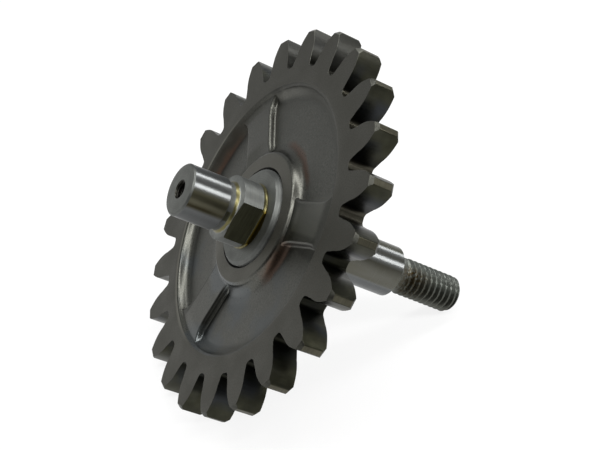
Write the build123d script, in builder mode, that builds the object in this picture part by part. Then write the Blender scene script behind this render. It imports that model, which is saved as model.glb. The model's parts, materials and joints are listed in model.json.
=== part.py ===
from build123d import *
import os
from math import acos, atan2, cos, hypot, pi, radians, sin, tan

os.makedirs("parts", exist_ok=True)

# Water pump shaft with its drive gear, lying at rest on two gear teeth and on the threaded end.
# All sizes are in millimetres. Stations are distances along the shaft from the gear's front face,
# negative towards the plain journal end and positive towards the threaded end.
# Angles about the shaft are counted from straight down, towards +Y.

# Drive gear: spur teeth cut in a forged steel disc
tooth_count = 23
gear_module = 2.4
pressure_angle = 20
face_width = 4.0
tip_chamfer = 0.5
root_radius = 0.9
bore_chamfer = 0.35

# Sunk web on the gear's front, with three straight spokes
hub_diameter = 20.6
rim_inner_diameter = 42.0
web_depth = 1.4
web_wall_run = 1.3
web_edge_radius = 0.8
web_fillet = 2.5
spoke_count = 3
spoke_width = 6.3
spoke_depth = 0.6
spoke_wall_run = 0.25
spoke_edge_radius = 0.25
spoke_fillet = 0.5
spoke_angle = -0.9

# Shaft diameters
collar_diameter = 15.0
journal_diameter = 8.0
barrel_diameter = 10.0
front_undercut_diameter = 7.4
base_undercut_diameter = 9.6
neck_diameter = 5.5
thread_diameter = 6.0

# Shaft stations and lengths
collar_proud = 0.6
collar_chamfer = 0.5
base_undercut_width = 0.6
barrel_front = -4.4
barrel_chamfer_run = 0.4
barrel_chamfer_depth = 0.6
front_undercut_slope_run = 0.4
front_undercut_fillet = 0.5
front_journal_end = -6.1
front_end = -12.45
front_end_chamfer = 0.25
rear_journal_end = 25.5
journal_edge = 0.12
journal_root_radius = 0.5
thread_start = 27.2
thread_end = 37.75
thread_start_chamfer = 0.3
thread_end_chamfer = 0.5

# Two milled flats on the barrel
across_flats = 7.9
flat_corner_radius = 0.55
flat_angle = -93.4

# Tapped hole in the front end
tap_drill_diameter = 2.5
tap_countersink_diameter = 2.9
tap_depth = 9.0

# Gear geometry
pitch_radius = gear_module * tooth_count / 2
tip_radius = pitch_radius + gear_module
root_circle = pitch_radius - 1.25 * gear_module
base_radius = pitch_radius * cos(radians(pressure_angle))
barrel_radius = barrel_diameter / 2
journal_radius = journal_diameter / 2
collar_radius = collar_diameter / 2
thread_radius = thread_diameter / 2
barrel_shoulder = barrel_front - barrel_chamfer_run


def involute(angle):
    """Involute function of a pressure angle in radians."""
    return tan(angle) - angle


def space_half_angle(radius):
    """Half the angle of a tooth space at a radius."""
    return pi / (2 * tooth_count) - involute(radians(pressure_angle)) + involute(acos(base_radius / radius))


# Resting pose: two tooth tips beside the lowest tooth space and the chamfered thread end touch the floor
tip_corner_radius = tip_radius * cos(space_half_angle(tip_radius))
tooth_touch = face_width - tip_chamfer
thread_touch = thread_end - thread_end_chamfer
lean = atan2(tip_corner_radius - thread_radius, thread_touch - tooth_touch)
shaft_direction = Vector(cos(lean), 0, -sin(lean))
down_direction = Vector(-sin(lean), 0, -cos(lean))
rest_height = tip_corner_radius * cos(lean) + tooth_touch * sin(lean)
gear_reach = (tip_radius - tip_chamfer) * cos(space_half_angle(tip_radius)) * sin(lean)
thread_reach = thread_end * cos(lean) + (thread_radius - thread_end_chamfer) * sin(lean)
gear_centre = Vector((gear_reach - thread_reach) / 2, 0, rest_height)

shaft_axis = Axis(gear_centre, shaft_direction)
face_plane = Plane(origin=gear_centre, x_dir=down_direction, z_dir=shaft_direction)
section_plane = Plane(origin=gear_centre, x_dir=shaft_direction, z_dir=shaft_direction.cross(down_direction))

def radial_direction(angle):
    """Direction away from the shaft at an angle from straight down."""
    return down_direction.rotate(Axis((0, 0, 0), shaft_direction), angle)


# Plane across each spoke, just inside the hub's wall, facing the rim
spoke_start = hub_diameter / 2
spoke_length = rim_inner_diameter / 2 - spoke_start
spoke_planes = []
for number in range(spoke_count):
    outward = radial_direction(spoke_angle + 360 * number / spoke_count)
    across = shaft_direction.cross(outward)
    spoke_planes.append(Plane(origin=gear_centre + outward * spoke_start, x_dir=across, z_dir=outward))

# Plane along the shaft and square to the flats, and the plane of the front end
flat_direction = radial_direction(flat_angle)
flats_plane = Plane(origin=gear_centre, x_dir=shaft_direction, z_dir=shaft_direction.cross(flat_direction))
front_end_plane = Plane(origin=gear_centre + shaft_direction * front_end, z_dir=-shaft_direction)

# Space between two gear teeth, opening outwards along X
with BuildSketch() as tooth_space:
    with BuildLine():
        reach = tip_radius + tip_chamfer
        radii = [base_radius + (reach - base_radius) * step / 4 for step in range(5)]
        flank = Spline([(r * cos(space_half_angle(r)), r * sin(space_half_angle(r))) for r in radii])
        foot_angle = space_half_angle(base_radius)
        foot = Line(flank @ 0, (root_circle * cos(foot_angle), root_circle * sin(foot_angle)))
        mirror(about=Plane.XZ)
        ThreePointArc(foot @ 1, (root_circle, 0), ((foot @ 1).X, -(foot @ 1).Y))
        Line(flank @ 1, ((flank @ 1).X, -(flank @ 1).Y))
    make_face()
    fillet(tooth_space.vertices().group_by(Axis.X)[0], radius=root_radius)

# Section across a spoke: drafted sides that run out into the web's floor
with BuildSketch() as spoke_section:
    with BuildLine():
        foot_half = spoke_width / 2 + spoke_wall_run
        Polyline(
            (-spoke_width / 2, spoke_depth),
            (spoke_width / 2, spoke_depth),
            (foot_half, web_depth),
            (foot_half + spoke_fillet, web_depth),
            (foot_half + spoke_fillet, web_depth + spoke_fillet),
            (-foot_half - spoke_fillet, web_depth + spoke_fillet),
            (-foot_half - spoke_fillet, web_depth),
            (-foot_half, web_depth),
            close=True,
        )
    make_face()
    spoke_corners = spoke_section.vertices()
    fillet(spoke_corners.filter_by_position(Axis.Y, spoke_depth, spoke_depth), radius=spoke_edge_radius)
    spoke_feet = spoke_corners.filter_by_position(Axis.Y, web_depth, web_depth)
    fillet(spoke_feet.sort_by(Axis.X)[1:3], radius=spoke_fillet)

# Gear
with BuildPart() as gear:
    # Turned disc with its bore, chamfered edges and sunk web
    with BuildSketch(section_plane) as disc_section:
        with BuildLine():
            Polyline(
                (bore_chamfer, collar_radius),
                (0, collar_radius + bore_chamfer),
                (0, hub_diameter / 2),
                (web_depth, hub_diameter / 2 + web_wall_run),
                (web_depth, rim_inner_diameter / 2 - web_wall_run),
                (0, rim_inner_diameter / 2),
                (0, tip_radius - tip_chamfer),
                (tip_chamfer, tip_radius),
                (face_width - tip_chamfer, tip_radius),
                (face_width, tip_radius - tip_chamfer),
                (face_width, collar_radius + bore_chamfer),
                (face_width - bore_chamfer, collar_radius),
                close=True,
            )
        make_face()
        web_corners = disc_section.vertices().filter_by_position(
            Axis.Y, hub_diameter / 2, rim_inner_diameter / 2)
        fillet(web_corners.group_by(Axis.X)[0], radius=web_edge_radius)
        web_corners = disc_section.vertices().filter_by_position(
            Axis.Y, hub_diameter / 2 + web_wall_run, rim_inner_diameter / 2 - web_wall_run)
        fillet(web_corners.group_by(Axis.X)[-1], radius=web_fillet)
    revolve(axis=shaft_axis)

    # Spokes left standing in the web
    for spoke_plane in spoke_planes:
        with BuildSketch(spoke_plane):
            add(spoke_section.sketch)
        extrude(amount=spoke_length)

    # Tooth spaces, one of them lowest
    with BuildSketch(face_plane):
        with PolarLocations(0, tooth_count):
            add(tooth_space.sketch)
    extrude(amount=face_width, mode=Mode.SUBTRACT)

gear.part.label = "gear"
export_step(gear.part, "parts/gear.step")

# Shaft, turned in one piece with the collar that the gear is pressed on
with BuildPart() as shaft:
    with BuildSketch(section_plane) as shaft_profile:
        with BuildLine():
            Polyline(
                (front_end, 0),
                (front_end, journal_radius - front_end_chamfer),
                (front_end + front_end_chamfer, journal_radius),
                (front_journal_end - journal_edge, journal_radius),
                (front_journal_end, journal_radius - journal_edge),
                (front_journal_end, front_undercut_diameter / 2),
                (barrel_shoulder - front_undercut_slope_run, front_undercut_diameter / 2),
                (barrel_shoulder, barrel_radius - barrel_chamfer_depth),
                (barrel_front, barrel_radius),
                (-collar_proud - base_undercut_width, barrel_radius),
                (-collar_proud - base_undercut_width, base_undercut_diameter / 2),
                (-collar_proud, base_undercut_diameter / 2),
                (-collar_proud, collar_radius - collar_chamfer),
                (collar_chamfer - collar_proud, collar_radius),
                (face_width + collar_proud - collar_chamfer, collar_radius),
                (face_width + collar_proud, collar_radius - collar_chamfer),
                (face_width + collar_proud, journal_radius),
                (rear_journal_end - journal_edge, journal_radius),
                (rear_journal_end, journal_radius - journal_edge),
                (rear_journal_end, neck_diameter / 2),
                (thread_start, neck_diameter / 2),
                (thread_start + thread_start_chamfer, thread_radius),
                (thread_end - thread_end_chamfer, thread_radius),
                (thread_end, thread_radius - thread_end_chamfer),
                (thread_end, 0),
                close=True,
            )
        make_face()
        corners = shaft_profile.vertices()
        undercut_floor = front_undercut_diameter / 2
        undercut_corners = corners.filter_by_position(Axis.Y, undercut_floor, undercut_floor)
        fillet(undercut_corners.sort_by(Axis.X)[-1], radius=front_undercut_fillet)
        journal_corners = shaft_profile.vertices().filter_by_position(Axis.Y, journal_radius, journal_radius)
        fillet(journal_corners.sort_by(Axis.X)[2], radius=journal_root_radius)
    revolve(axis=shaft_axis)

    # Two flats on the barrel, milled with a round-cornered cutter down to the collar's face
    with BuildSketch(flats_plane) as flat_cutter:
        with BuildLine():
            Polyline(
                (front_journal_end, across_flats / 2),
                (-collar_proud, across_flats / 2),
                (-collar_proud, barrel_diameter),
                (front_journal_end, barrel_diameter),
                close=True,
            )
        make_face()
        fillet(flat_cutter.vertices().group_by(Axis.Y)[0].sort_by(Axis.X)[-1], radius=flat_corner_radius)
        mirror(about=Plane.XZ)
    extrude(amount=barrel_diameter, both=True, mode=Mode.SUBTRACT)

    # Tapped hole in the front end
    with Locations(front_end_plane):
        CounterSinkHole(tap_drill_diameter / 2, tap_countersink_diameter / 2, tap_depth)

shaft.part.label = "shaft"
export_step(shaft.part, "parts/shaft.step")
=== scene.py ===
import json
from functools import partial
from math import acos, asin, atan2, cos, pi, radians, sin, sqrt, tan

import bmesh
import bpy
from bpy.props import FloatProperty, FloatVectorProperty, IntProperty, PointerProperty
from mathutils import Matrix, Vector


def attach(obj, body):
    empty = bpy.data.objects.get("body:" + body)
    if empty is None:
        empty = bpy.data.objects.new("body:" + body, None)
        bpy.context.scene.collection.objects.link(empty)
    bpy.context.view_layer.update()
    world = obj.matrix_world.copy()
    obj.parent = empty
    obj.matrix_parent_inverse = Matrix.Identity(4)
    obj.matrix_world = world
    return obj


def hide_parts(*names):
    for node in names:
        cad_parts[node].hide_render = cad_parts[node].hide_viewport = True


bl_info = {
    "name": "Water Pump Shaft",
    "version": (1, 0, 0),
    "blender": (4, 5, 0),
    "location": "View3D > Sidebar > Pump Shaft",
    "description": "Builds a pump shaft with its pressed-on gear, and the stage it is shown on",
    "category": "Add Mesh",
}

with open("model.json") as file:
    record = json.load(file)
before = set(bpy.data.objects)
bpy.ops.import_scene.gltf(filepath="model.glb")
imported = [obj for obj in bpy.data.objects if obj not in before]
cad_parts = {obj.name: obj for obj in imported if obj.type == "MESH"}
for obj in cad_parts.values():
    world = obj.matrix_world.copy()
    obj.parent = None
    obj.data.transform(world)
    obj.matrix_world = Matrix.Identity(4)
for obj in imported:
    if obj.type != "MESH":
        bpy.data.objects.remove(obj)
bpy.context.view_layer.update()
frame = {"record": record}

# One millimetre, then the distances within which vertices merge, edges vanish and stations count
# as the same, all in metres
MM = 0.001
MERGE = 2e-6
NEAR = 1e-6
SAME = 1e-7

# Edges sharper than the first angle keep a hard line, tooth edges sharper than the second are broken
SHARP_ANGLE = radians(24)
BREAK_ANGLE = radians(50)


# Values

def linear(code):
    """Linear colour, with full alpha, from an sRGB hex value."""
    channels = [(code >> shift & 255) / 255 for shift in (16, 8, 0)]
    return (*[c / 12.92 if c <= 0.04045 else ((c + 0.055) / 1.055) ** 2.4 for c in channels], 1.0)


def length(name, millimetres, description):
    """A size that the user sees in scene units."""
    return FloatProperty(name=name, description=description, default=millimetres * MM,
                         unit="LENGTH", precision=5)


def angle(name, value, description):
    """An angle, given in degrees."""
    return FloatProperty(name=name, description=description, default=radians(value),
                         subtype="ANGLE")


def colour(name, code, description):
    """A finish colour, given as an sRGB hex value."""
    return FloatVectorProperty(name=name, description=description, default=linear(code),
                               subtype="COLOR", size=4, min=0, max=1)


def mount(name):
    """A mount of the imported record."""
    return next(m for m in frame["record"]["mounts"] if m["name"] == name)


class GearSizes(bpy.types.PropertyGroup):
    """Sizes of the drive gear."""
    tooth_count: IntProperty(name="Teeth", description="Number of teeth", default=23, min=8)
    module: length("Module", 2.4, "Pitch diameter over number of teeth")
    pressure_angle: angle("Pressure angle", 20, "Pressure angle of the involute flanks")
    face_width: length("Face width", 4.0, "Thickness of the toothed rim")
    tip_chamfer: length("Tip chamfer", 0.505, "Chamfer turned on both corners of the tooth tips")
    root_depth: length("Root depth", 3.65, "Depth of the tooth spaces below the pitch circle")
    root_width: length("Root width", 1.5, "Width at the bottom of a tooth space")
    root_radius: length("Root radius", 0.7, "Radius in the corners of the tooth spaces")
    tip_relief: length("Tip relief", 0.36, "Easing of each flank towards the tip")
    tip_radius: length("Tip corner radius", 0.28, "Rounding between a flank and the tip land")
    edge_break: length("Edge break", 0.11, "Deburred edge along the tooth outline")
    bore_radius: length("Bore radius", 7.5, "Bore that is pressed on the collar")
    bore_chamfer: length("Bore chamfer", 0.35, "Lead chamfer at both ends of the bore")
    hub_radius: length("Hub radius", 10.3, "Where the hub's flat would meet the wall of the web")
    rim_radius: length("Rim inner radius", 21.0, "Where the rim's flat would meet the wall of the web")
    join_radius: length("Rim join radius", 22.5, "Ring where the teeth are joined to the turned disc")
    web_depth: length("Web depth", 1.4, "Depth of the sunk web below the front face")
    web_wall_run: length("Web wall run", 0.62, "How far the web's wall leans over its depth")
    web_edge_radius: length("Web edge radius", 0.6, "Rounding of the web's upper edges")
    web_fillet: length("Web fillet", 1.7, "Fillet between the wall and the floor of the web")
    spoke_count: IntProperty(name="Spokes", description="Number of raised spokes", default=3, min=1)
    spoke_width: length("Spoke width", 6.2, "Width of a spoke at its top")
    spoke_depth: length("Spoke depth", 0.5, "Depth of the spoke's top below the front face")
    spoke_wall_run: length("Spoke wall run", 0.2, "How far a spoke's side leans over its height")
    spoke_edge_radius: length("Spoke edge radius", 0.42, "Rounding along a spoke's top edges")
    spoke_fillet: length("Spoke fillet", 0.32, "Fillet along a spoke's feet")
    spoke_blend: length("Spoke blend", 0.2, "Softness where a spoke runs into hub and rim")
    spoke_hub_flare: length("Spoke hub flare", 0.4, "Widening of a spoke's sides into the hub")
    spoke_rim_flare: length("Spoke rim flare", 1.4, "Widening of a spoke's sides into the rim")
    spoke_angle: angle("Spoke angle", -0.9, "First spoke, counted from straight down")


class ShaftSizes(bpy.types.PropertyGroup):
    """Sizes of the turned shaft. Stations are counted from the gear's front face."""
    collar_radius: length("Collar radius", 7.49, "Collar that carries the gear")
    collar_proud: length("Collar proud", 0.6, "How far the collar stands out of the gear")
    collar_chamfer: length("Collar chamfer", 0.5, "Chamfer on both ends of the collar")
    journal_radius: length("Journal radius", 4.0, "Ground bearing journals")
    journal_edge: length("Journal edge", 0.12, "Edge break at the inner end of a journal")
    journal_root: length("Journal root", 0.5, "Fillet between rear journal and collar")
    barrel_radius: length("Barrel radius", 5.0, "Short barrel that carries the flats")
    barrel_front: length("Barrel front", -4.5, "Station of the barrel's front edge")
    barrel_chamfer_run: length("Barrel chamfer run", 0.15, "Length of the barrel's front chamfer")
    barrel_chamfer_depth: length("Barrel chamfer depth", 0.95, "Drop of the barrel's front chamfer")
    front_undercut: length("Front undercut", 3.7, "Radius at the bottom of the front undercut")
    front_undercut_run: length("Front undercut run", 0.5, "Slope that leads out of the undercut")
    base_undercut: length("Base undercut", 4.8, "Radius at the bottom of the barrel's relief")
    base_undercut_width: length("Base undercut width", 0.6, "Width of the barrel's relief")
    across_flats: length("Across flats", 7.9, "Distance between the two milled flats")
    flat_fillet: length("Flat fillet", 0.4, "Cutter corner left at the foot of the flats")
    flat_angle: angle("Flat angle", -93.4, "Direction of one flat, counted from straight down")
    front_journal_end: length("Front journal end", -6.1, "Station where the front journal ends")
    front_end: length("Front end", -12.44, "Station of the front end face")
    front_chamfer: length("Front chamfer", 0.25, "Chamfer round the front end face")
    rear_journal_end: length("Rear journal end", 25.5, "Station where the rear journal ends")
    neck_radius: length("Neck radius", 2.75, "Plain neck between journal and thread")
    thread_start: length("Thread start", 27.2, "Station where the thread begins")
    thread_end: length("Thread end", 37.75, "Station of the threaded end")
    thread_radius: length("Thread radius", 2.95, "Radius over the thread's crests")
    thread_depth: length("Thread depth", 0.56, "Depth of the thread")
    thread_pitch: length("Thread pitch", 1.0, "Pitch of the thread")
    thread_phase: angle("Thread phase", -113.0, "Direction in which a crest crosses the station")
    thread_crest: length("Thread crest", 32.64, "Station of a crest at the thread's phase")
    thread_lead: length("Thread lead", 0.5, "Chamfer at the thread's end")
    tap_radius: length("Tap radius", 1.25, "Radius over the crests of the tapped hole")
    tap_depth: length("Tap depth", 9.0, "Depth of the tapped hole")
    tap_pitch: length("Tap pitch", 0.5, "Pitch of the tapped hole")
    tap_thread: length("Tap thread depth", 0.26, "Depth of the tapped hole's thread")
    tap_sink: length("Tap countersink", 0.2, "Chamfer round the mouth of the tapped hole")


class Finishes(bpy.types.PropertyGroup):
    """Colours of the steel, as each part of it is finished."""
    gear_face: colour("Ground gear face", 0x51504A, "Machined faces of the gear")
    gear_web: colour("Forged web", 0x555550, "Shot-blasted forging skin in the sunk web")
    gear_flank: colour("Hobbed flanks", 0x35352B, "Cut tooth flanks")
    gear_tip: colour("Tip lands", 0x4D4B40, "Turned tip lands of the teeth")
    gear_edge: colour("Broken edges", 0x474742, "Deburred and chamfered tooth edges")
    # red-brown for the fillets, laid on as a tint of scale and as painted reflection
    fillet_tint_and_sheen: colour("Forging tint", 0x5C463A, "Red-brown scale left in the fillets")
    journal: colour("Ground journal", 0x7E8080, "Bright ground bearing journals")
    turned: colour("Turned faces", 0x6E706C, "Matt turned end faces and collar")
    barrel: colour("Turned barrel", 0x797B78, "Turned barrel and chamfers")
    flat: colour("Milled flats", 0x5E5E4C, "Dark milled flats")
    straw: colour("Straw temper", 0x706B4A, "Straw temper colour in the undercuts")
    thread: colour("Rolled thread", 0x727570, "Rolled thread")


class StageSizes(bpy.types.PropertyGroup):
    """Floor and camera."""
    camera_location: FloatVectorProperty(
        name="Camera location", description="Where the camera stands",
        default=(-0.035708, -0.180756, 0.146702), subtype="TRANSLATION", unit="LENGTH", precision=5)
    camera_forward: FloatVectorProperty(
        name="Camera forward", description="Direction in which the camera looks",
        default=(0.16279, 0.81247, -0.55982), subtype="DIRECTION", precision=5)
    camera_right: FloatVectorProperty(
        name="Camera right", description="Direction of the picture's right side",
        default=(0.95743, -0.26716, -0.10931), subtype="DIRECTION", precision=5)
    camera_lens: FloatProperty(name="Lens", description="Focal length on a 36 mm sensor",
                               default=89.52, min=10, subtype="DISTANCE_CAMERA")
    floor_size: length("Floor size", 4000, "Side of the square floor")
    floor_colour: colour("Floor", 0xF8F8F8, "Pale floor")


# Helpers

def add_node(tree, kind, *inputs, out=0, **settings):
    """Adds a shader node with its settings and gives back one of its outputs. Inputs are sockets
    to link or values, in the order of the node's sockets or in one dict by name or number."""
    node = tree.nodes.new("ShaderNode" + kind)
    for key, value in settings.items():
        setattr(node, key, value)
    given = inputs[0] if inputs and isinstance(inputs[0], dict) else dict(enumerate(inputs))
    for key, value in given.items():
        if isinstance(value, bpy.types.NodeSocket):
            tree.links.new(value, node.inputs[key])
        else:
            node.inputs[key].default_value = value
    return node.outputs[out] if node.outputs else None


def start_nodes(owner):
    """Empties the node tree of a material or a world and gives back add_node for that tree."""
    owner.use_nodes = True
    owner.node_tree.nodes.clear()
    return partial(add_node, owner.node_tree)


def held(value):
    """A value held between nothing and one."""
    return min(1.0, max(0.0, value))


def placed(place, *axes):
    """Matrix of a place and the three axes that stand there."""
    return Matrix.Translation(place) @ Matrix(axes).transposed().to_4x4()


def shaft_place():
    """Matrix from the shaft's own axes to the row frame: X down, Y sideways, Z along the shaft."""
    teeth = mount("gear_teeth")
    along = Vector(teeth["axis"]).normalized()
    side = Vector((0, 1, 0))
    centre = Vector(teeth["pos_m"]) - along * bpy.context.scene.pump_gear.face_width / 2
    return placed(centre, side.cross(along), side, along)


def add_object(name, data):
    """A new object in the scene."""
    added = bpy.data.objects.new(name, data)
    bpy.context.scene.collection.objects.link(added)
    return added


def make_mesh(bm, name):
    """Turns a bmesh into a mesh and frees it."""
    mesh = bpy.data.meshes.new(name)
    bm.to_mesh(mesh)
    bm.free()
    return mesh


def wire(bm, points):
    """A chain of vertices and edges in a bmesh."""
    verts = [bm.verts.new(p) for p in points]
    for one, other in zip(verts, verts[1:]):
        bm.edges.new((one, other))
    return verts


def round_corner(bm, place, radius, segments):
    """Rounds the wire corner that lies at a place with an arc of that radius."""
    vert = min((v for v in bm.verts if len(v.link_edges) == 2 and not v.link_faces),
               key=lambda v: (v.co - place).length)
    one, other = [(e.other_vert(vert).co - vert.co).normalized() for e in vert.link_edges]
    reach = radius * tan((pi - one.angle(other)) / 2)
    bmesh.ops.bevel(bm, geom=[vert], offset=reach, offset_type="OFFSET", segments=segments,
                    profile=0.5, affect="VERTICES", material=-1)


def divide_run(bm, start, end, cuts):
    """Cuts the straight wire edge between two stations into equal steps."""
    for edge in bm.edges[:]:
        low, high = sorted((edge.verts[0].co.z, edge.verts[1].co.z))
        if abs(low - start) < SAME and abs(high - end) < SAME:
            bmesh.ops.subdivide_edges(bm, edges=[edge], cuts=cuts)


def spin_full(bm, steps, geom):
    """Turns a wire right round the shaft's axis and closes the seam and the poles."""
    bmesh.ops.spin(bm, geom=geom, cent=(0, 0, 0), axis=(0, 0, 1), dvec=(0, 0, 0), angle=2 * pi,
                   steps=steps, use_merge=True, use_duplicate=False)


def finish_piece(bm, name, finishes, pick, node):
    """Places a mesh in the row frame as one piece that stands for a CAD node, with the finish that
    is picked for each face."""
    bmesh.ops.remove_doubles(bm, verts=bm.verts[:], dist=MERGE)
    bmesh.ops.dissolve_degenerate(bm, edges=bm.edges[:], dist=NEAR)
    bmesh.ops.recalc_face_normals(bm, faces=bm.faces[:])
    bm.normal_update()
    for face in bm.faces:
        face.smooth = True
        face.material_index = pick(face)
    for edge in bm.edges:
        edge.smooth = edge.is_manifold and edge.calc_face_angle() < SHARP_ANGLE
    bmesh.ops.transform(bm, matrix=shaft_place(), verts=bm.verts[:])
    mesh = make_mesh(bm, name)
    for finish in finishes:
        mesh.materials.append(finish(bpy.context.scene.pump_finishes))
    piece = add_object(name, mesh)
    weights = piece.modifiers.new("Flat faces stay flat", "WEIGHTED_NORMAL")
    weights.mode = "FACE_AREA"
    weights.keep_sharp = True
    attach(piece, "root")
    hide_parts(node)


# Finishes of the steel, laid out in millimetres along the shaft's own axes

def new_finish(name):
    """A material, what adds nodes to it, and its pattern space: millimetres from the middle of the
    gear's front face, with X down, Y sideways and Z along the shaft."""
    material = bpy.data.materials.new(name)
    node = start_nodes(material)
    place = shaft_place()
    local = node("Mapping", {"Vector": node("TexCoord", out="Object"),
                             "Location": place.translation, "Rotation": place.to_euler(),
                             "Scale": (MM, MM, MM)}, vector_type="TEXTURE")
    return material, node, local


def end_finish(material, tone, rough, relief=None, depth=0.0, turned=0.0):
    """Gives back the material as steel with its tone and roughness, and relief whose depth is in
    millimetres. Turned steel spreads each lamp along the shaft, across the tool's rings."""
    node = partial(add_node, material.node_tree)
    inputs = {"Base Color": tone, "Metallic": 1.0, "Roughness": rough}
    if relief is not None:
        inputs["Normal"] = node("Bump", {"Height": relief, "Distance": depth * MM, "Strength": 1.0})
    if turned:
        inputs["Tangent"] = node("CombineXYZ", *(shaft_place().to_3x3() @ Vector((0, 0, 1))))
        inputs["Anisotropic"] = turned
    node("OutputMaterial", {"Surface": node("BsdfPrincipled", inputs)})
    return material


def lumps(node, local, size, detail=2.0, stretch=(1, 1, 1)):
    """Noise whose lumps have a size in millimetres, stretched along the shaft's axes."""
    scaled = node("VectorMath", local, [1 / (size * s) for s in stretch], operation="MULTIPLY")
    return node("TexNoise", {"Vector": scaled, "Scale": 1.0, "Detail": detail}, out="Fac")


def meet(node, *masks):
    """Where all masks meet: their product. A plain number sets how strong it is."""
    result = masks[0]
    for mask in masks[1:]:
        result = node("Math", result, mask, operation="MULTIPLY")
    return result


def band(node, value, low, high, soft):
    """One between two limits and nothing outside them, with soft ends."""
    return meet(node, node("MapRange", value, low - soft, low + soft),
                node("MapRange", value, high - soft, high + soft, 1.0, 0.0))


def axis_radius(node, local):
    """Distance from the shaft's axis."""
    across = node("VectorMath", local, (1, 1, 0), operation="MULTIPLY")
    return node("VectorMath", across, operation="LENGTH", out=1)


def offset(node, local, turn):
    """How far out a place lies in a direction across the shaft, counted from straight down."""
    return node("VectorMath", local, (cos(turn), sin(turn), 0), operation="DOT_PRODUCT", out=1)


def around(node, local, start):
    """Angle round the shaft's axis, in degrees to both sides of a start direction that is itself
    counted from straight down."""
    ahead, aside = offset(node, local, radians(start)), offset(node, local, radians(start + 90))
    return meet(node, node("Math", aside, ahead, operation="ARCTAN2"), 180 / pi)


def sector(node, local, start, low, high, soft):
    """One between two directions round the shaft, both counted from a start direction."""
    return band(node, around(node, local, start), low, high, soft)


def shade(colour_value, factor):
    """A colour made lighter or darker."""
    return (*[min(1.0, c * factor) for c in colour_value[:3]], 1.0)


def painted(node, tone, over, *masks):
    """A tone with another colour laid over it where all masks meet."""
    return node("Mix", {0: meet(node, *masks), 6: tone, 7: over}, out=2, data_type="RGBA")


def mottled(node, base, dark, light, pattern, low=0.3, high=0.7):
    """A colour that wanders between two shades of itself over the middle range of a pattern."""
    return painted(node, shade(base, dark), shade(base, light),
                   node("MapRange", pattern, low, high))


def ground_gear_face(finishes):
    """Face-ground forging steel, phosphated dull: a close grain with faint mottling, and
    roughness that spreads each lamp into a soft sheen. The hub is ground brighter, the bore's
    chamfer is painted near black as shade in the gap round the collar, and one side of the
    rim's inner edge carries a painted highlight."""
    base = finishes.gear_face[:]
    material, node, local = new_finish("ground_gear_face_steel")
    radius = axis_radius(node, local)
    grain = lumps(node, local, 0.2, 3.0)
    cloud = lumps(node, local, 5.0, 3.0)
    hub = node("MapRange", radius, 10.3, 10.9, 1.0, 0.0)
    gap = node("MapRange", radius, 7.84, 7.9, 1.0, 0.0)
    tone = mottled(node, base, 0.76, 1.25, grain)
    tone = painted(node, tone, shade(base, 0.88), node("MapRange", cloud, 0.35, 0.65, 0.0, 0.5))
    tone = painted(node, tone, mottled(node, base, 1.22, 1.58, grain), hub)
    # the bore's chamfer: painted shade, near black, in the gap round the collar
    tone = painted(node, tone, shade(base, 0.12), gap)
    # one side of the rim's inner edge: a painted highlight
    tone = painted(node, tone, shade(base, 2.4), band(node, radius, 20.6, 21.65, 0.3),
                   sector(node, local, 40.0, -40.0, 60.0, 12.0))
    rough = node("MapRange", cloud, 0.3, 0.7, 0.46, 0.56)
    return end_finish(material, tone, rough, grain, 0.006)


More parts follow.
